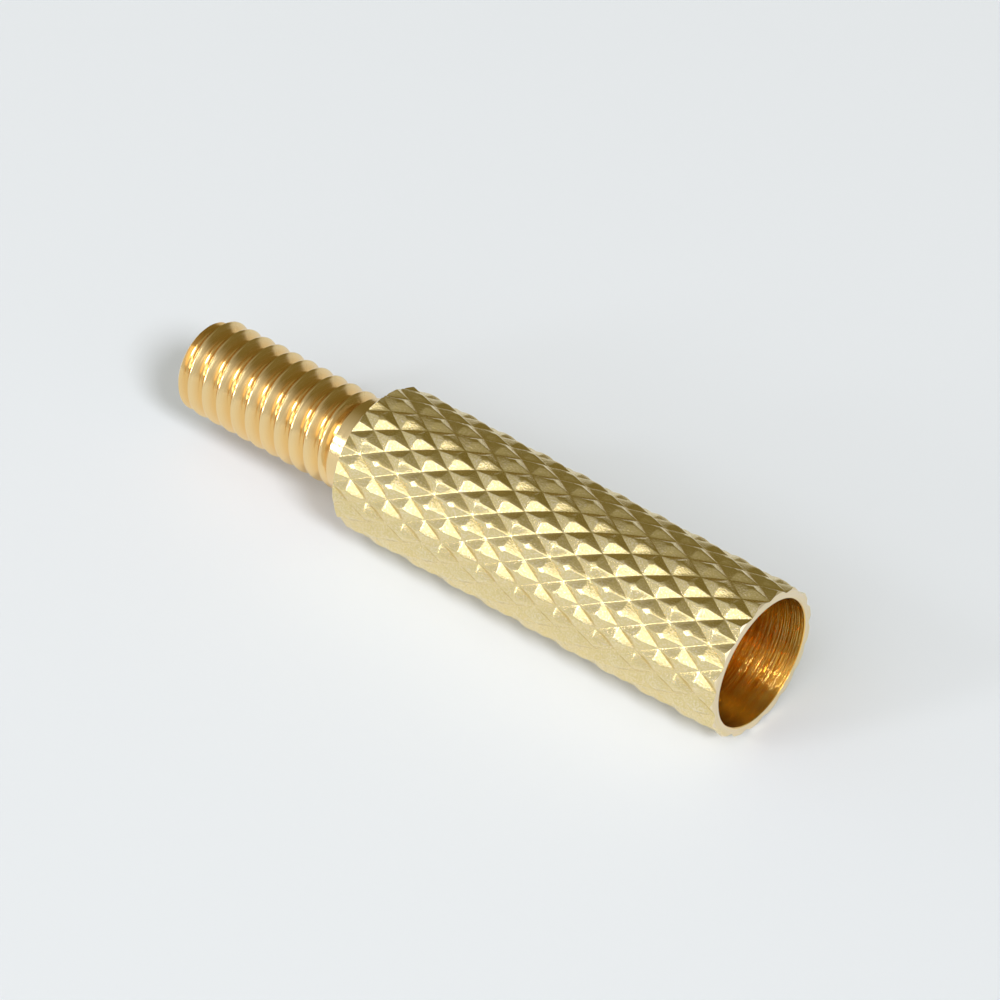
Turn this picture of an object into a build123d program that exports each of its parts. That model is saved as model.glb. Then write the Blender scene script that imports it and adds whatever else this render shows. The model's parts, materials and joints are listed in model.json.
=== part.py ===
"""Threaded adapter: one piece of brass rod, turned, knurled, bored and threaded.

Millimetres. The origin is on the axis, in the plane of the shoulder that the
stud screws down to. +X runs out of the socket's mouth, the stud points along -X,
and +Z is up with the adapter lying on its side, on two rows of knurl tips.
"""

import os
from math import ceil, cos, pi, radians, sin, tan

from build123d import *

# Body
body_diameter = 6.35  # over the tips of the knurl
body_length = 19.05  # shoulder to mouth
shoulder_bevel = 0.15  # broken outer edge beside the stud
mouth_bevel = 0.08  # broken outer edge round the mouth

# Socket, a blind drilled bore
socket_wall = 0.455  # bore to the tips of the knurl
bore_depth = 12.7  # mouth to the end of the full diameter
bore_lead_in = 0.1  # countersunk edge of the mouth
drill_point_angle = 118

# Stud, plain at the major diameter of its coarse No. 8 thread
stud_diameter = 4.166
stud_length = 9.525
stud_end_bevel = 0.42

# Knurl, two crossing sets of V grooves that leave rows of blunt pyramids
knurl_spacing = 1.17  # aimed at round the body, between two grooves of one hand
knurl_pitch = 1.927  # along the axis, between the middles of two pyramids in line
knurl_depth = 0.19  # flat top to groove bottom, across the radius
knurl_flat = 0.2  # width of a pyramid's flat top, as a share of the width of its foot
knurl_mouth_offset = 0.06  # from the mouth out to the nearest row of pyramids

tip_radius = body_diameter / 2
root_radius = tip_radius - knurl_depth
bore_radius = tip_radius - socket_wall
stud_radius = stud_diameter / 2

# Net of the knurl: pyramids and groove crossings take turns along and round the body
knurl_starts = round(pi * body_diameter / knurl_spacing)  # grooves of each hand round the body
columns = 2 * knurl_starts
column_step = 2 * pi / columns
row_step = knurl_pitch / 2
first_row = body_length + knurl_mouth_offset + row_step  # the rows run on past both ends
rows = ceil(first_row / row_step) + 1
lowest_column = -pi / 2 + column_step / 2  # two columns straddle the lowest line


def net_point(column, row, radius):
    """The point over a place in the net, at a given distance from the axis."""
    turn = lowest_column + column * column_step
    return Vector(first_row - row * row_step, radius * cos(turn), radius * sin(turn))


def triangle(*corners):
    """A flat face between three points."""
    return Face(Wire.make_polygon(corners))


def pyramid_half(column, row, way):
    """The half of a pyramid that lies toward the mouth (way -1) or the shoulder (way 1)."""
    end_top = net_point(column, row + way * knurl_flat, tip_radius)
    end_foot = net_point(column, row + way, root_radius)
    side_tops = [net_point(column + side * knurl_flat, row, tip_radius) for side in (-1, 1)]
    side_feet = [net_point(column + side, row, root_radius) for side in (-1, 1)]
    faces = [triangle(end_top, *side_tops)]
    for side_top, side_foot in zip(side_tops, side_feet):
        faces.append(triangle(side_top, side_foot, end_foot))
        faces.append(triangle(side_top, end_foot, end_top))
    return faces


def end_cap(row):
    """The flat face that closes the net at one end, along the outline of that row."""
    outline = []
    for column in range(columns):
        if (column + row) % 2:
            outline.append(net_point(column, row, root_radius))
        else:
            outline.append(net_point(column - knurl_flat, row, tip_radius))
            outline.append(net_point(column + knurl_flat, row, tip_radius))
    return Face(Wire.make_polygon(outline))


flanks = [
    face
    for row in range(rows + 1)
    for column in range(columns)
    for way in (-1, 1)
    if (column + row) % 2 == 0 and 0 <= row + way <= rows
    for face in pyramid_half(column, row, way)
]
knurled_rod = Solid(Shell(flanks + [end_cap(0), end_cap(rows)]))

with BuildPart() as threaded_adapter:
    add(knurled_rod)

    # Turned outline: both ends of the knurl are faced off and bevelled
    with BuildSketch(Plane.XZ):
        with BuildLine():
            Polyline(
                (0, 0),
                (0, tip_radius - shoulder_bevel),
                (shoulder_bevel, tip_radius),
                (body_length - mouth_bevel, tip_radius),
                (body_length, tip_radius - mouth_bevel),
                (body_length, 0),
                close=True,
            )
        make_face()
    revolve(axis=Axis.X, mode=Mode.INTERSECT)

    # Socket with its countersunk mouth and drill point
    with BuildSketch(Plane.XZ):
        bore_end = body_length - bore_depth
        drill_tip = bore_end - bore_radius / tan(radians(drill_point_angle / 2))
        with BuildLine():
            Polyline(
                (drill_tip, 0),
                (bore_end, bore_radius),
                (body_length - bore_lead_in, bore_radius),
                (body_length, bore_radius + bore_lead_in),
                (body_length, 0),
                close=True,
            )
        make_face()
    revolve(axis=Axis.X, mode=Mode.SUBTRACT)

    # Stud
    with BuildSketch(Plane.XZ):
        with BuildLine():
            Polyline(
                (0, 0),
                (0, stud_radius),
                (stud_end_bevel - stud_length, stud_radius),
                (-stud_length, stud_radius - stud_end_bevel),
                (-stud_length, 0),
                close=True,
            )
        make_face()
    revolve(axis=Axis.X)

threaded_adapter.part.label = "threaded_adapter"

os.makedirs("parts", exist_ok=True)
export_step(threaded_adapter.part, "parts/threaded_adapter.step")
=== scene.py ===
"""The threaded adapter's looks: a diamond-knurled brass body with a drilled socket and a threaded stud.

Metres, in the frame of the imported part: the axis is X, the socket's mouth points to +X, the stud to -X,
and the adapter lies on its side on the floor, on two rows of knurl points.
"""

import json
from math import ceil, cos, pi, radians, sin, sqrt, tan

import bpy
from bpy.props import FloatProperty, FloatVectorProperty, IntProperty, PointerProperty
from mathutils import Matrix, Vector


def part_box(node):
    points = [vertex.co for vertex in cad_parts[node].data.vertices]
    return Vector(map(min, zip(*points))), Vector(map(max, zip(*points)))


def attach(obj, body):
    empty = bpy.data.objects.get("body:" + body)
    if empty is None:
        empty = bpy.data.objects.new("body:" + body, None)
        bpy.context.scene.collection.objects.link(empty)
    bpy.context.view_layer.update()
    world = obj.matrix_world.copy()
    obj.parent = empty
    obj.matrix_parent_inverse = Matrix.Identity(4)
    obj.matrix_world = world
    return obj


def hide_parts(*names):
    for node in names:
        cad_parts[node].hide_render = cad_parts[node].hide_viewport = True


bl_info = {
    "name": "Threaded Adapter",
    "version": (1, 0, 0),
    "blender": (4, 5, 0),
    "location": "3D View > Sidebar > Adapter",
    "description": "Builds a knurled brass adapter with a drilled socket and a threaded stud",
    "category": "Add Mesh",
}

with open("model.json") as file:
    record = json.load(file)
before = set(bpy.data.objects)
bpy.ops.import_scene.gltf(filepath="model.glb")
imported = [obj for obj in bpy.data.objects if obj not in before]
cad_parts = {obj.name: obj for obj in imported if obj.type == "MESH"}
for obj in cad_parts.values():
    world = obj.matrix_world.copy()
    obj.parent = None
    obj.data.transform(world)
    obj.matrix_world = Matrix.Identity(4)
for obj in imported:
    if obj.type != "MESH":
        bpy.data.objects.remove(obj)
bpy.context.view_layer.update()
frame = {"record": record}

MM = 0.001
NODE = "threaded_adapter"
BODY = "root"

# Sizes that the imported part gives
MOUNTS = {mount["name"]: mount for mount in frame["record"]["mounts"]}
LOWEST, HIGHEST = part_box(NODE)
BODY_RADIUS = HIGHEST.y
BODY_LENGTH = HIGHEST.x
STUD_LENGTH = -LOWEST.x
STUD_RADIUS = MOUNTS["stud"]["dims"]["r_mm"] * MM
SOCKET_RADIUS = MOUNTS["socket"]["dims"]["r_mm"] * MM
SOCKET_BOTTOM = MOUNTS["socket"]["pos_m"][0] - MOUNTS["socket"]["dims"]["length_mm"] * MM

# Fineness of the mesh
WELD = 1e-7  # points nearer than this become one
ROUND_STEPS = 256  # facets round a turned surface
THREAD_STEPS = 128  # facets round one turn of the thread
SIDE_STEPS = 6  # facets along one side of a diamond
SMOOTH_ANGLE = radians(30)  # edges sharper than this stay sharp
OVERSHOOT = 0.2 * MM  # how far a cutting tool reaches past the metal it cuts

# A diamond from its foot to its top: how far in and how far up, as shares of the way to a sharp point
DIAMOND_RINGS = (
    (0, 0),
    (0.03, 0.01),
    (0.3, 0.292),
    (0.62, 0.612),
    (0.71, 0.69),
    (0.77, 0.73),
    (0.82, 0.745),
)
GROOVE_RING = 1  # the ring that rounds the bottoms of the grooves

# The thread's form
THREAD_FLAT = 1 / 6  # width of a crest and of a root, as a share of the pitch
THREAD_SOFTNESS = 0.07 * MM  # size of the rounding on its corners
RUN_OUT = 0.8  # length over which the thread fades into the neck, as a share of the pitch

# Node settings
NOISE_LOW, NOISE_HIGH = 0.35, 0.65  # most of a noise lies between these
RING_WAVER = 300.0  # how fast tool marks change round the axis, per metre

# The camera, solved from the photograph
CAMERA_PLACE = Vector((78.25, -87.22, 98.68)) * MM
CAMERA_RIGHT = Vector((0.770829, 0.637043, 0))
CAMERA_UP = Vector((-0.416048, 0.503423, 0.757278))
CAMERA_LENS = 136.84

# Far lamps, like windows: the side each one shines from, its width in the sky and its radiance
WINDOWS = {
    "low": (Vector((-0.48, -0.84, 0.24)), radians(10), 13),
    "high": (Vector((-0.48, -0.73, 0.49)), radians(10), 11),
    "key": (Vector((0.7, -0.33, 0.65)), radians(15), 36),
}
FILL_SIDE = Vector((0.05, -0.7, 0.7))
FILL_DISTANCE = 0.3
FILL_SIZE = 0.3
FILL_ENERGY = 0.3
FLOOR_SIZE = 4


class KnurlSettings(bpy.types.PropertyGroup):
    """The diamond knurl round the body"""

    starts: IntProperty(
        name="Starts",
        description="Grooves of each hand round the body",
        default=17,
        min=3,
    )
    pitch: FloatProperty(
        name="Pitch",
        description="Distance along the axis between the middles of two diamonds in line",
        default=1.927 * MM,
        unit="LENGTH",
        precision=5,
    )
    height: FloatProperty(
        name="Height",
        description="Height that a diamond would have if its sides met in a point",
        default=0.24 * MM,
        unit="LENGTH",
        precision=5,
    )
    roundness: FloatProperty(
        name="Roundness",
        description="How far a diamond's top goes from square to round",
        default=0.85,
        subtype="FACTOR",
    )
    ridge: FloatProperty(
        name="Ridge",
        description="How much of a corner the rounded ridges take away",
        default=0.028,
        subtype="FACTOR",
    )
    uneven: FloatProperty(
        name="Uneven",
        description="How far the surface strays inward from its place",
        default=0.02 * MM,
        unit="LENGTH",
        precision=5,
    )
    mouth_offset: FloatProperty(
        name="Mouth offset",
        description="From the mouth out to the nearest row of diamonds",
        default=0.06 * MM,
        unit="LENGTH",
        precision=5,
    )


class TurningSettings(bpy.types.PropertyGroup):
    """The faced ends of the body and the drilled socket"""

    shoulder_bevel: FloatProperty(
        name="Shoulder bevel",
        description="Broken edge beside the stud",
        default=0.15 * MM,
        unit="LENGTH",
        precision=5,
    )
    mouth_bevel: FloatProperty(
        name="Mouth bevel",
        description="Broken outer edge of the mouth",
        default=0.08 * MM,
        unit="LENGTH",
        precision=5,
    )
    lead_in: FloatProperty(
        name="Lead-in",
        description="Countersunk edge of the mouth",
        default=0.03 * MM,
        unit="LENGTH",
        precision=5,
    )
    drill_point: FloatProperty(
        name="Drill point",
        description="Angle of the socket's cone-shaped end",
        default=radians(118),
        subtype="ANGLE",
    )


class ThreadSettings(bpy.types.PropertyGroup):
    """The stud's coarse right-hand thread"""

    pitch: FloatProperty(
        name="Pitch",
        description="Distance between two turns",
        default=25.4 / 32 * MM,
        unit="LENGTH",
        precision=5,
    )
    depth: FloatProperty(
        name="Depth",
        description="Crest to root, across the radius",
        default=0.4 * MM,
        unit="LENGTH",
        precision=5,
    )
    neck: FloatProperty(
        name="Neck",
        description="Smooth length beside the shoulder",
        default=1.15 * MM,
        unit="LENGTH",
        precision=5,
    )
    end_bevel: FloatProperty(
        name="End bevel",
        description="Chamfer on the end of the stud",
        default=0.26 * MM,
        unit="LENGTH",
        precision=5,
    )
    phase: FloatProperty(
        name="Phase",
        description="From the shoulder to the crest of the first turn, on the +Y side",
        default=1.96 * MM,
        unit="LENGTH",
        precision=5,
    )


class FinishSettings(bpy.types.PropertyGroup):
    """Colours of the brass, of the paper it lies on and of the room, where some brass colours are painted
    shade, sparkle and highlights
    """

    brass: FloatVectorProperty(
        name="Brass",
        description="Colour of clean brass",
        default=(0.865, 0.73, 0.42),
        subtype="COLOR",
    )
    # Warm brass: the patches are the brass's own warmer tone, and in the knurl's grooves this darker, warmer
    # colour is painted shade with a little grime
    warm_brass_and_groove_shade: FloatVectorProperty(
        name="Warm brass",
        description="Colour of brass in grooves and patches",
        default=(0.84, 0.675, 0.33),
        subtype="COLOR",
    )
    # Pale brass: the faced ends' own colour, which on the knurl also paints sparkle, bright specks that
    # stand in for glints
    pale_brass_and_sparkle: FloatVectorProperty(
        name="Pale brass",
        description="Colour of freshly faced brass",
        default=(0.88, 0.76, 0.6),
        subtype="COLOR",
    )
    speck: FloatVectorProperty(
        name="Speck",
        description="Colour of the grain's dark specks",
        default=(0.765, 0.63, 0.31),
        subtype="COLOR",
    )
    crest: FloatVectorProperty(
        name="Crest",
        description="Colour of brass on the thread's crests",
        default=(0.87, 0.65, 0.33),
        subtype="COLOR",
    )
    # Painted shade: the thread's grooves are the same brass, and this darker, more orange colour stands in
    # for the shade in them
    thread_groove_shade: FloatVectorProperty(
        name="Groove",
        description="Colour of brass in the thread's grooves",
        default=(0.84, 0.53, 0.19),
        subtype="COLOR",
    )
    # Painted interreflection: the drilled wall is the same brass, and this deep orange stands in for light
    # bouncing round inside the socket
    bore: FloatVectorProperty(
        name="Bore",
        description="Colour of the drilled wall",
        default=(0.98, 0.5, 0.045),
        subtype="COLOR",
    )
    # Painted highlight: paler brass on the drill's rings, standing in for the light they catch
    painted_bore_highlight: FloatVectorProperty(
        name="Bore glow",
        description="Colour of the bright rings in the bore",
        default=(0.98, 0.68, 0.19),
        subtype="COLOR",
    )
    paper: FloatVectorProperty(
        name="Paper",
        description="Colour of the floor",
        default=(0.765, 0.803, 0.875),
        subtype="COLOR",
    )
    haze: FloatVectorProperty(
        name="Haze",
        description="Light from where the floor ends, the same as the far floor's",
        default=(0.685, 0.702, 0.702),
        subtype="COLOR",
    )
    front: FloatVectorProperty(
        name="Front",
        description="Light from the room in front",
        default=(0.62, 0.63, 0.62),
        subtype="COLOR",
    )
    back: FloatVectorProperty(
        name="Back",
        description="Light from the room behind",
        default=(0.2, 0.165, 0.06),
        subtype="COLOR",
    )
    above: FloatVectorProperty(
        name="Above",
        description="Light from the ceiling",
        default=(0.38, 0.36, 0.26),
        subtype="COLOR",
    )


def deselect_all():
    """Leaves edit mode and selects nothing."""
    if bpy.context.object and bpy.context.object.mode != "OBJECT":
        bpy.ops.object.mode_set(mode="OBJECT")
    bpy.ops.object.select_all(action="DESELECT")


def only(piece):
    """Makes one object the selected and active one."""
    deselect_all()
    piece.select_set(True)
    bpy.context.view_layer.objects.active = piece


def edit_all(piece):
    """Opens a piece in edit mode with all of it selected."""
    only(piece)
    bpy.ops.object.mode_set(mode="EDIT")
    bpy.ops.mesh.select_mode(type="VERT")
    bpy.ops.mesh.select_all(action="SELECT")


def clean(piece, weld=WELD):
    """Merges a piece's doubles and turns its faces outward."""
    edit_all(piece)
    bpy.ops.mesh.remove_doubles(threshold=weld)
    bpy.ops.mesh.normals_make_consistent(inside=False)
    bpy.ops.object.mode_set(mode="OBJECT")


def modify(piece, kind, **values):
    """Adds a modifier with the given settings and applies it."""
    only(piece)
    modifier = piece.modifiers.new(kind.title(), kind)
    for name, value in values.items():
        setattr(modifier, name, value)
    bpy.ops.object.modifier_apply(modifier=modifier.name)


def combine(piece, operation, tool):
    """Joins, cuts or intersects a piece with another, which is used up."""
    modify(piece, "BOOLEAN", object=tool, operation=operation, solver="MANIFOLD", material_mode="TRANSFER")
    bpy.data.objects.remove(tool)


def saw(piece, x, side):
    """Cuts a piece across the axis, clears what is on the given side and closes the cut."""
    edit_all(piece)
    bpy.ops.mesh.bisect(
        plane_co=(x, 0, 0), plane_no=(side, 0, 0), clear_outer=True, use_fill=True, threshold=WELD
    )
    bpy.ops.object.mode_set(mode="OBJECT")


def mesh_object(name, points, edges, faces):
    """A new object in the scene from the corners, edges and faces of its mesh."""
    mesh = bpy.data.meshes.new(name)
    mesh.from_pydata(points, edges, faces)
    piece = bpy.data.objects.new(name, mesh)
    bpy.context.collection.objects.link(piece)
    return piece


def outline_object(name, outline, material):
    """A line of (x, radius) points in the plane of X and Z, ready to be turned."""
    points = [(x, 0, radius) for x, radius in outline]
    piece = mesh_object(name, points, [(i, i + 1) for i in range(len(points) - 1)], [])
    piece.data.materials.append(material)
    return piece


def turned(name, outline, material):
    """A solid turned about the X axis from an outline that starts and ends on it."""
    piece = outline_object(name, outline, material)
    edit_all(piece)
    bpy.ops.mesh.spin(steps=ROUND_STEPS, angle=2 * pi, center=(0, 0, 0), axis=(1, 0, 0))
    clean(piece)
    return piece


def diamond(knurl, half_pitch, half_width):
    """One diamond of the knurl, lying flat and facing -Y, with its foot at y = 0."""
    corners = [Vector((half_pitch, 0, 0)), Vector((0, 0, half_width))]
    corners += [-corner for corner in corners]
    points = []
    for ring, (inward, up) in enumerate(DIAMOND_RINGS):
        rounding = knurl.roundness * inward**3
        for side in range(4):
            for step in range(SIDE_STEPS):
                # Facets are shorter beside the corners
                share = (1 - cos(pi * step / SIDE_STEPS)) / 2
                square = corners[side].lerp(corners[(side + 1) % 4], share)
                # The oval touches the middles of the four sides
                turn = (side + share) * pi / 2
                oval = Vector((half_pitch * cos(turn), 0, half_width * sin(turn))) / sqrt(2)
                point = (1 - inward) * square.lerp(oval, rounding)
                if step == 0 and ring:
                    point *= 1 - knurl.ridge
                # The grooves of one hand stay sharp
                rise = inward if ring == GROOVE_RING and side % 2 == 0 else up
                points.append((point.x, -rise * knurl.height, point.z))
    around = 4 * SIDE_STEPS
    faces = []
    for ring in range(0, around * (len(DIAMOND_RINGS) - 1), around):
        for place in range(around):
            beside = (place + 1) % around
            faces.append((ring + place, ring + beside, ring + around + beside, ring + around + place))
    faces.append(tuple(range(len(points) - around, len(points))))
    return mesh_object("knurled_body", points, [], faces)


def knurled_rod(knurl):
    """A rod longer than the body, knurled all over: flat diamonds, rolled round the axis."""
    half_pitch = knurl.pitch / 2
    half_width = pi * BODY_RADIUS / knurl.starts
    first_row = BODY_LENGTH + knurl.mouth_offset + knurl.pitch
    # Two rows of diamonds straddle the lowest line
    lowest_turn = pi / 2 - pi / knurl.starts / 2
    depth = knurl.height * DIAMOND_RINGS[-1][1]

    # The second diamond is the staggered one, half a pitch and half a width on
    rod = diamond(knurl, half_pitch, half_width)
    edit_all(rod)
    bpy.ops.transform.translate(value=(first_row, depth, -BODY_RADIUS * lowest_turn))
    bpy.ops.mesh.duplicate_move(TRANSFORM_OT_translate={"value": (-half_pitch, 0, half_width)})
    bpy.ops.object.mode_set(mode="OBJECT")
    rows = ceil(first_row / knurl.pitch) + 1
    for count, step in ((rows, (-knurl.pitch, 0, 0)), (knurl.starts, (0, 0, 2 * half_width))):
        modify(
            rod,
            "ARRAY",
            count=count,
            use_relative_offset=False,
            use_constant_offset=True,
            constant_offset_displace=step,
        )
    # The staggered diamonds reach half a width past a whole turn
    modify(
        rod,
        "SIMPLE_DEFORM",
        deform_method="BEND",
        deform_axis="X",
        angle=2 * pi * (knurl.starts + 0.5) / knurl.starts,
    )
    edit_all(rod)
    bpy.ops.transform.translate(value=(0, -BODY_RADIUS, 0))
    clean(rod, weld=10 * WELD)
    clouds = bpy.data.textures.new("uneven", "CLOUDS")
    clouds.noise_scale = knurl.pitch / 2
    modify(rod, "DISPLACE", texture=clouds, texture_coords="LOCAL", strength=knurl.uneven, mid_level=1)
    saw(rod, BODY_LENGTH + OVERSHOOT, 1)
    saw(rod, -OVERSHOOT, -1)
    rod.data.materials.append(knurled_brass())
    return rod


class ADAPTER_OT_knurled_body(bpy.types.Operator):
    """Builds the body: the knurled rod, faced and bevelled at both ends, with its drilled socket"""

    bl_idname = "adapter.knurled_body"
    bl_label = "Knurled Body"
    bl_options = {"REGISTER", "UNDO"}

    def execute(self, context):
        turning = context.scene.adapter_turning
        body = knurled_rod(context.scene.adapter_knurl)
        clear_radius = BODY_RADIUS + OVERSHOOT
        blank = turned(
            "blank",
            [
                (0, 0),
                (0, BODY_RADIUS - turning.shoulder_bevel),
                (turning.shoulder_bevel + OVERSHOOT, clear_radius),
                (BODY_LENGTH - turning.mouth_bevel - OVERSHOOT, clear_radius),
                (BODY_LENGTH, BODY_RADIUS - turning.mouth_bevel),
                (BODY_LENGTH, 0),
            ],
            faced_brass(),
        )
        combine(body, "INTERSECT", blank)
        drill_tip = SOCKET_BOTTOM - SOCKET_RADIUS / tan(turning.drill_point / 2)
        drill = turned(
            "drill",
            [
                (BODY_LENGTH + OVERSHOOT, 0),
                (BODY_LENGTH + OVERSHOOT, SOCKET_RADIUS + turning.lead_in + OVERSHOOT),
                (BODY_LENGTH - turning.lead_in, SOCKET_RADIUS),
                (SOCKET_BOTTOM, SOCKET_RADIUS),
                (drill_tip, 0),
            ],
            bored_brass(),
        )
        combine(body, "DIFFERENCE", drill)
        return {"FINISHED"}


def thread_profile(thread):
    """One pitch of the thread, from root to root, as (x, radius) points with rounded corners."""
    flat = thread.pitch * THREAD_FLAT
    soft = THREAD_SOFTNESS
    root_radius = STUD_RADIUS - thread.depth
    root_end = flat / 2
    crest_start = root_end + (thread.pitch - 2 * flat) / 2
    crest_end = crest_start + flat
    next_root = thread.pitch - flat / 2
    return [
        (0, root_radius),
        (root_end - soft / 2, root_radius + 0.1 * soft),
        (root_end + soft / 2, root_radius + soft),
        (crest_start - soft / 2, STUD_RADIUS - soft),
        (crest_start + soft / 3, STUD_RADIUS - 0.15 * soft),
        (crest_start + flat / 2, STUD_RADIUS),
        (crest_end - soft / 3, STUD_RADIUS - 0.15 * soft),
        (crest_end + soft / 2, STUD_RADIUS - soft),
        (next_root - soft / 2, root_radius + soft),
        (next_root + soft / 2, root_radius + 0.1 * soft),
        (thread.pitch, root_radius),
    ]


def threaded_rod(thread):
    """A rod longer than the stud at both ends, threaded all over."""
    # The outline starts below the stud's end, half a pitch before a crest
    turns_down = ceil(STUD_LENGTH / thread.pitch) + 2
    start = -thread.phase - turns_down * thread.pitch - thread.pitch / 2
    # It stands at +Z, a quarter turn past +Y
    start += thread.pitch / 4
    outline = [(start + x, radius) for x, radius in thread_profile(thread)]
    rod = outline_object("threaded_stud", outline, threaded_brass())
    modify(
        rod,
        "SCREW",
        axis="X",
        screw_offset=thread.pitch,
        iterations=turns_down + 4,
        steps=THREAD_STEPS,
        render_steps=THREAD_STEPS,
    )
    edit_all(rod)
    bpy.ops.mesh.remove_doubles(threshold=WELD)
    bpy.ops.object.mode_set(mode="OBJECT")
    saw(rod, -STUD_LENGTH - OVERSHOOT, -1)
    saw(rod, OVERSHOOT, 1)
    edit_all(rod)
    bpy.ops.mesh.normals_make_consistent(inside=False)
    bpy.ops.object.mode_set(mode="OBJECT")
    return rod


class ADAPTER_OT_threaded_stud(bpy.types.Operator):
    """Cuts the stud's right-hand thread, which runs out to a smooth neck, and joins it to the body"""

    bl_idname = "adapter.threaded_stud"
    bl_label = "Threaded Stud"
    bl_options = {"REGISTER", "UNDO"}

    def execute(self, context):
        thread = context.scene.adapter_thread
        stud = threaded_rod(thread)
        # The stud reaches into the body, which it then joins
        inner_end = 2 * OVERSHOOT
        clear_radius = STUD_RADIUS + OVERSHOOT
        blank = turned(
            "blank",
            [
                (inner_end, 0),
                (inner_end, clear_radius),
                (-STUD_LENGTH + thread.end_bevel + OVERSHOOT, clear_radius),
                (-STUD_LENGTH, STUD_RADIUS - thread.end_bevel),
                (-STUD_LENGTH, 0),
            ],
            faced_brass(),
        )
        combine(stud, "INTERSECT", blank)
        neck_end = -thread.neck - RUN_OUT * thread.pitch
        neck = turned(
            "neck",
            [
                (inner_end, 0),
                (inner_end, STUD_RADIUS),
                (-thread.neck, STUD_RADIUS),
                (neck_end, STUD_RADIUS - thread.depth - OVERSHOOT),
                (neck_end, 0),
            ],
            threaded_brass(),
        )
        combine(stud, "UNION", neck)

        body = bpy.data.objects["knurled_body"]
        combine(body, "UNION", stud)
        if min(corner[0] for corner in body.bound_box) > -STUD_LENGTH / 2:
            raise RuntimeError("the stud didn't join the body")
        body.name = body.data.name = "turned_adapter"
        clean(body)
        bpy.ops.object.shade_smooth_by_angle(angle=SMOOTH_ANGLE)
        modify(body, "WEIGHTED_NORMAL", mode="FACE_AREA_WITH_ANGLE", keep_sharp=True)
        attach(body, BODY)
        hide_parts(NODE)
        return {"FINISHED"}


def feed(tree, socket, value):
    """Gives a socket a link or a plain value."""
    if isinstance(value, bpy.types.NodeSocket):
        tree.links.new(value, socket)
    else:
        socket.default_value = value


def put(tree, kind, values=None, **properties):
    """Adds a shader node, sets its properties and feeds its inputs, named or by identifier."""
    made = tree.nodes.new("ShaderNode" + kind)
    for name, value in properties.items():
        setattr(made, name, value)
    for name, value in (values or {}).items():
        feed(tree, next(socket for socket in made.inputs if name in (socket.identifier, socket.name)), value)
    return made


def calculate(tree, operation, *numbers):
    """A sum on up to three numbers."""
    made = put(tree, "Math", operation=operation)
    for socket, value in zip(made.inputs, numbers):
        feed(tree, socket, value)
    return made.outputs["Value"]


def place_on_axes(tree):
    """The X, Y and Z of the point that is being coloured."""
    return put(tree, "SeparateXYZ", {"Vector": put(tree, "TexCoord").outputs["Object"]}).outputs


def between(tree, factor, first, second):
    """A colour between two others."""
    values = {"Factor_Float": factor, "A_Color": first, "B_Color": second}
    made = put(tree, "Mix", values, data_type="RGBA")
    return next(socket for socket in made.outputs if socket.identifier == "Result_Color")


def ramp(tree, value, low=0.0, high=1.0, first=0.0, second=1.0):
    """A number that goes smoothly from one value to another while the given one goes from low to high."""
    values = {"Value": value, "From Min": low, "From Max": high, "To Min": first, "To Max": second}
    return put(tree, "MapRange", values, interpolation_type="SMOOTHSTEP").outputs["Result"]


def start_group(name, inputs, outputs):
    """A node group with its inner sockets, which are None where the group was there already."""
    group = bpy.data.node_groups.get(name)
    if group:
        return group, None, None
    group = bpy.data.node_groups.new(name, "ShaderNodeTree")
    for label, value in inputs.items():
        socket = group.interface.new_socket(label, in_out="INPUT", socket_type="NodeSocketFloat")
        socket.default_value = value
    for label in outputs:
        group.interface.new_socket(label, in_out="OUTPUT", socket_type="NodeSocketFloat")
    return group, group.nodes.new("NodeGroupInput").outputs, group.nodes.new("NodeGroupOutput").inputs


def satin_grain():
    """Fine grain that rolling leaves on metal: a height in metres and a mask."""
    inputs = {"Size": 0.05 * MM, "Depth": 0.001 * MM}
    group, given, result = start_group("satin grain", inputs, ("Height", "Mask"))
    if given:
        scale = calculate(group, "DIVIDE", 1.0, given["Size"])
        where = put(group, "TexCoord").outputs["Object"]
        noise = put(group, "TexNoise", {"Vector": where, "Scale": scale, "Detail": 3.0}).outputs["Fac"]
        feed(group, result["Height"], calculate(group, "MULTIPLY", noise, given["Depth"]))
        feed(group, result["Mask"], ramp(group, noise, NOISE_LOW, NOISE_HIGH))
    return group


def tool_marks():
    """Fine rings that a cutting tool leaves, stacked along one direction: a height in metres and a mask."""
    inputs = {"Along": 0.0, "Spacing": 0.1 * MM, "Depth": 0.001 * MM}
    group, given, result = start_group("tool marks", inputs, ("Height", "Mask"))
    if given:
        axes = place_on_axes(group)
        stretched = {
            "X": calculate(group, "DIVIDE", given["Along"], given["Spacing"]),
            "Y": calculate(group, "MULTIPLY", axes["Y"], RING_WAVER),
            "Z": calculate(group, "MULTIPLY", axes["Z"], RING_WAVER),
        }
        where = put(group, "CombineXYZ", stretched).outputs["Vector"]
        values = {"Vector": where, "Scale": 1.0, "Detail": 4.0, "Roughness": 0.65}
        noise = put(group, "TexNoise", values).outputs["Fac"]
        feed(group, result["Height"], calculate(group, "MULTIPLY", noise, given["Depth"]))
        feed(group, result["Mask"], ramp(group, noise, NOISE_LOW, NOISE_HIGH))
    return group


def distance_from_axis():
    """A point's distance from the axis, and a mask that is 0 at the low radius and 1 at the high one."""
    group, given, result = start_group("distance from axis", {"Low": 0.0, "High": 1.0}, ("Radius", "Mask"))
    if given:
        axes = place_on_axes(group)
        square = calculate(group, "MULTIPLY", axes["Y"], axes["Y"])
        square = calculate(group, "MULTIPLY_ADD", axes["Z"], axes["Z"], square)
        radius = calculate(group, "SQRT", square)
        feed(group, result["Radius"], radius)
        feed(group, result["Mask"], ramp(group, radius, given["Low"], given["High"]))
    return group


def effect(tree, group, **values):
    """Places a node group in a material, and gives back its outputs."""
    return put(tree, "Group", values, node_tree=group).outputs


def opaque(color):
    """A colour with its alpha."""
    return (*color, 1)


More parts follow.
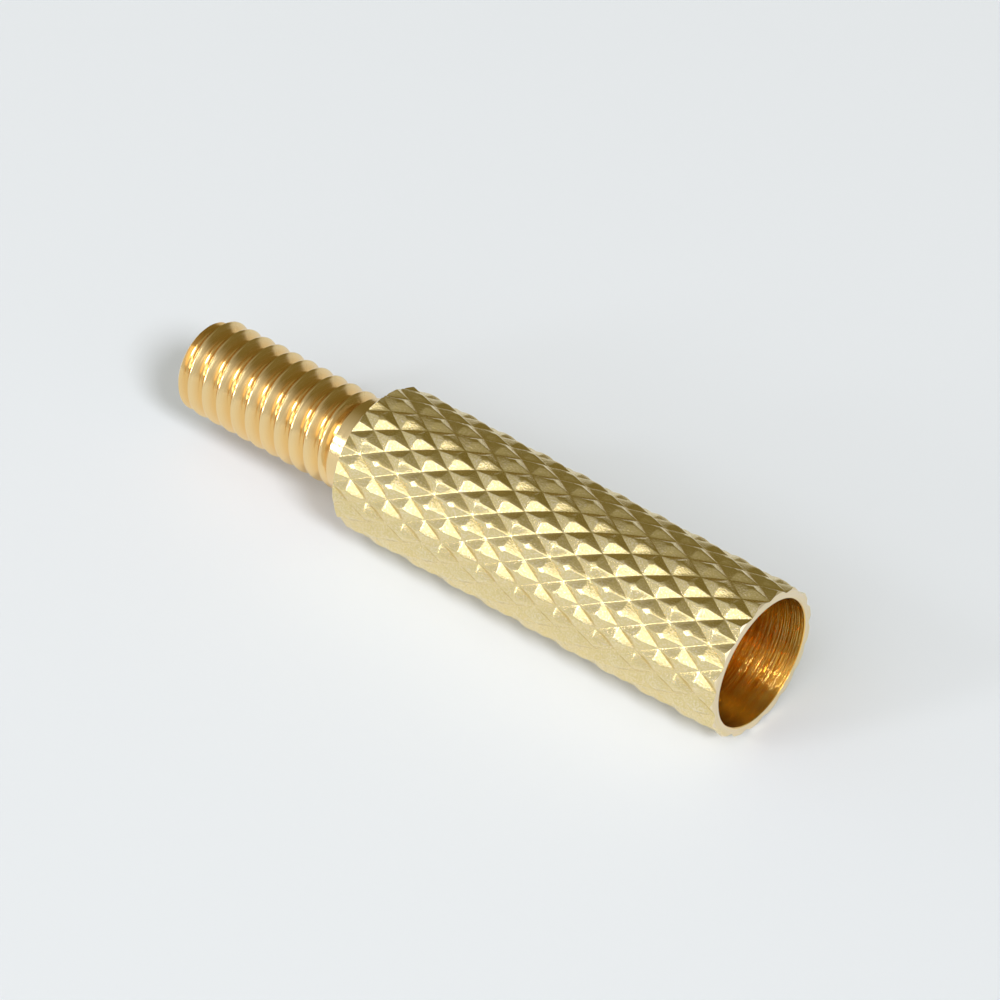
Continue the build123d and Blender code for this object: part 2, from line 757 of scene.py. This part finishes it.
def metal(name, build, oil=0.0):
    """A brass material, made once: build fills its tree and gives back colour, roughness and height."""
    material = bpy.data.materials.get(name)
    if material:
        return material
    material = bpy.data.materials.new(name)
    material.use_nodes = True
    tree = material.node_tree
    color, roughness, height = build(tree, bpy.context.scene.adapter_finish)
    bump = put(tree, "Bump", {"Height": height, "Distance": 1.0, "Strength": 1.0})
    shader = tree.nodes["Principled BSDF"].inputs
    feed(tree, shader["Base Color"], color)
    feed(tree, shader["Metallic"], 1.0)
    feed(tree, shader["Roughness"], roughness)
    feed(tree, shader["Normal"], bump.outputs["Normal"])
    feed(tree, shader["Coat Weight"], oil)
    feed(tree, shader["Coat Roughness"], 0.08)
    return material


def knurled_brass():
    """The rolled diamonds: grainy satin sides with dark specks, bright specks that are painted sparkle,
    warmer patches, and grooves painted darker and warmer as shade with a little grime.
    """

    def build(tree, finish):
        height = bpy.context.scene.adapter_knurl.height
        grain = effect(tree, satin_grain(), Size=0.07 * MM, Depth=0.011 * MM)
        patches = effect(tree, satin_grain(), Size=1.2 * MM, Depth=0.0)
        # Painted shade with a little grime: towards the grooves the brass turns darker and warmer
        groove_shade_mask = effect(
            tree, distance_from_axis(), Low=BODY_RADIUS - 0.8 * height, High=BODY_RADIUS - 0.3 * height
        )
        # Painted sparkle: the grain's brightest specks are painted pale, standing in for glints
        bright = ramp(tree, grain["Mask"], low=0.7, second=0.5)
        color = between(tree, patches["Mask"], opaque(finish.brass), opaque(finish.warm_brass_and_groove_shade))
        color = between(tree, groove_shade_mask["Mask"], opaque(finish.warm_brass_and_groove_shade), color)
        color = between(tree, grain["Mask"], opaque(finish.speck), color)
        color = between(tree, bright, color, opaque(finish.pale_brass_and_sparkle))
        return color, ramp(tree, grain["Mask"], first=0.27, second=0.18), grain["Height"]

    return metal("knurled brass", build)


def faced_brass():
    """The faced ends, with rings from the tool."""

    def build(tree, finish):
        radius = effect(tree, distance_from_axis(), Low=0.0, High=BODY_RADIUS)["Radius"]
        rings = effect(tree, tool_marks(), Along=radius, Spacing=0.06 * MM, Depth=0.003 * MM)
        color = between(tree, rings["Mask"], opaque(finish.brass), opaque(finish.pale_brass_and_sparkle))
        return color, ramp(tree, rings["Mask"], first=0.38, second=0.5), rings["Height"]

    return metal("faced brass", build)


def bored_brass():
    """The drilled wall: its deep orange is painted interreflection, the light that bounces round inside the
    socket, and its paler rings are painted highlights; the wall is ringed by the drill and a little oily.
    """

    def build(tree, finish):
        along = place_on_axes(tree)["X"]
        # The rings are deeper at the mouth
        depth = ramp(
            tree,
            along,
            low=BODY_LENGTH - 2.5 * MM,
            high=BODY_LENGTH - 0.3 * MM,
            first=0.025 * MM,
            second=0.035 * MM,
        )
        rings = effect(tree, tool_marks(), Along=along, Spacing=0.05 * MM, Depth=depth)
        # Painted interreflection and painted highlights: deep orange over the wall, paler where the rings'
        # mask is high
        color = between(tree, rings["Mask"], opaque(finish.bore), opaque(finish.painted_bore_highlight))
        return color, ramp(tree, rings["Mask"], first=0.12, second=0.22), rings["Height"]

    return metal("bored brass", build, oil=1.0)


def threaded_brass():
    """The stud: warmer brass, drawn smooth by the die, with its grooves painted darker and more orange as
    shade.
    """

    def build(tree, finish):
        thread_depth = bpy.context.scene.adapter_thread.depth
        along = place_on_axes(tree)["X"]
        rings = effect(tree, tool_marks(), Along=along, Spacing=0.05 * MM, Depth=0.0003 * MM)
        # Painted shade: the thread's grooves darker and more orange, its crests lighter
        groove_shade_mask = effect(tree, distance_from_axis(), Low=STUD_RADIUS - thread_depth, High=STUD_RADIUS)
        color = between(tree, groove_shade_mask["Mask"], opaque(finish.thread_groove_shade), opaque(finish.crest))
        return color, ramp(tree, rings["Mask"], first=0.14, second=0.22), rings["Height"]

    return metal("threaded brass", build)


def paper_floor(finish):
    """A wide plain floor that the adapter lies on."""
    bpy.ops.mesh.primitive_plane_add(size=FLOOR_SIZE, location=(0, 0, LOWEST.z))
    floor = bpy.context.object
    floor.name = "floor"
    bpy.ops.object.transform_apply(location=True, rotation=True, scale=True)
    paper = bpy.data.materials.new("paper")
    paper.use_nodes = True
    shader = paper.node_tree.nodes["Principled BSDF"].inputs
    shader["Base Color"].default_value = opaque(finish.paper)
    shader["Roughness"].default_value = 0.9
    shader["Specular IOR Level"].default_value = 0.1
    floor.data.materials.append(paper)


def shine(lamp, side, distance=0.0):
    """Hangs a lamp on the given side, aimed at the adapter."""
    stand = bpy.data.objects.new(lamp.name, lamp)
    stand.location = distance * side
    stand.rotation_euler = (-side).to_track_quat("-Z", "Y").to_euler()
    bpy.context.collection.objects.link(stand)


def room(finish):
    """A dim world: pale where the floor ends, bright in front and dark behind and above."""
    world = bpy.data.worlds.new("room")
    world.use_nodes = True
    tree = world.node_tree
    axes = put(tree, "SeparateXYZ", {"Vector": put(tree, "TexCoord").outputs["Generated"]}).outputs
    behind = ramp(tree, axes["Y"], -0.3, 0.35)
    overhead = ramp(tree, axes["Z"], 0.7, 0.98)
    over_horizon = ramp(tree, axes["Z"], 0.07, 0.17)
    color = between(tree, behind, opaque(finish.front), opaque(finish.back))
    color = between(tree, overhead, color, opaque(finish.above))
    color = between(tree, over_horizon, opaque(finish.haze), color)
    feed(tree, tree.nodes["Background"].inputs["Color"], color)
    return world


class ADAPTER_OT_stage(bpy.types.Operator):
    """Builds the paper floor, the lamps, the world and the camera"""

    bl_idname = "adapter.stage"
    bl_label = "Stage"
    bl_options = {"REGISTER", "UNDO"}

    def execute(self, context):
        finish = context.scene.adapter_finish
        deselect_all()
        paper_floor(finish)

        # Far lamps light the whole floor evenly, and a near one makes it paler in front
        for name, (side, width, radiance) in WINDOWS.items():
            window = bpy.data.lights.new(name, "SUN")
            window.angle = width
            window.energy = pi * (width / 2) ** 2 * radiance
            shine(window, side)
        fill = bpy.data.lights.new("fill", "AREA")
        fill.size = FILL_SIZE
        fill.energy = FILL_ENERGY
        shine(fill, FILL_SIDE, FILL_DISTANCE)
        context.scene.world = room(finish)

        camera = bpy.data.objects.new("camera", bpy.data.cameras.new("camera"))
        camera.data.sensor_width = 36
        camera.data.lens = CAMERA_LENS
        camera.data.clip_start = 0.001
        camera.data.clip_end = 20
        axes = (CAMERA_RIGHT, CAMERA_UP, CAMERA_RIGHT.cross(CAMERA_UP))
        camera.matrix_world = Matrix.Translation(CAMERA_PLACE) @ Matrix(axes).transposed().to_4x4()
        context.collection.objects.link(camera)
        context.scene.camera = camera
        context.scene.view_settings.view_transform = "Standard"
        return {"FINISHED"}


GROUPS = {
    "adapter_knurl": KnurlSettings,
    "adapter_turning": TurningSettings,
    "adapter_thread": ThreadSettings,
    "adapter_finish": FinishSettings,
}
OPERATORS = (ADAPTER_OT_stage, ADAPTER_OT_knurled_body, ADAPTER_OT_threaded_stud)


class ADAPTER_PT_panel(bpy.types.Panel):
    """Lists the adapter's sizes and colours, and the steps that build it"""

    bl_idname = "ADAPTER_PT_panel"
    bl_label = "Threaded Adapter"
    bl_space_type = "VIEW_3D"
    bl_region_type = "UI"
    bl_category = "Adapter"

    def draw(self, context):
        for label, kind in GROUPS.items():
            for name in kind.__annotations__:
                self.layout.prop(getattr(context.scene, label), name)
        for operator in OPERATORS:
            self.layout.operator(operator.bl_idname)


def register():
    for kind in (*GROUPS.values(), *OPERATORS, ADAPTER_PT_panel):
        bpy.utils.register_class(kind)
    for label, kind in GROUPS.items():
        setattr(bpy.types.Scene, label, PointerProperty(type=kind))


def unregister():
    for label in GROUPS:
        delattr(bpy.types.Scene, label)
    for kind in reversed((*GROUPS.values(), *OPERATORS, ADAPTER_PT_panel)):
        bpy.utils.unregister_class(kind)


def main():
    """Builds the stage and the adapter."""
    register()
    bpy.ops.adapter.stage()
    bpy.ops.adapter.knurled_body()
    bpy.ops.adapter.threaded_stud()


if __name__ == "__main__":
    main()
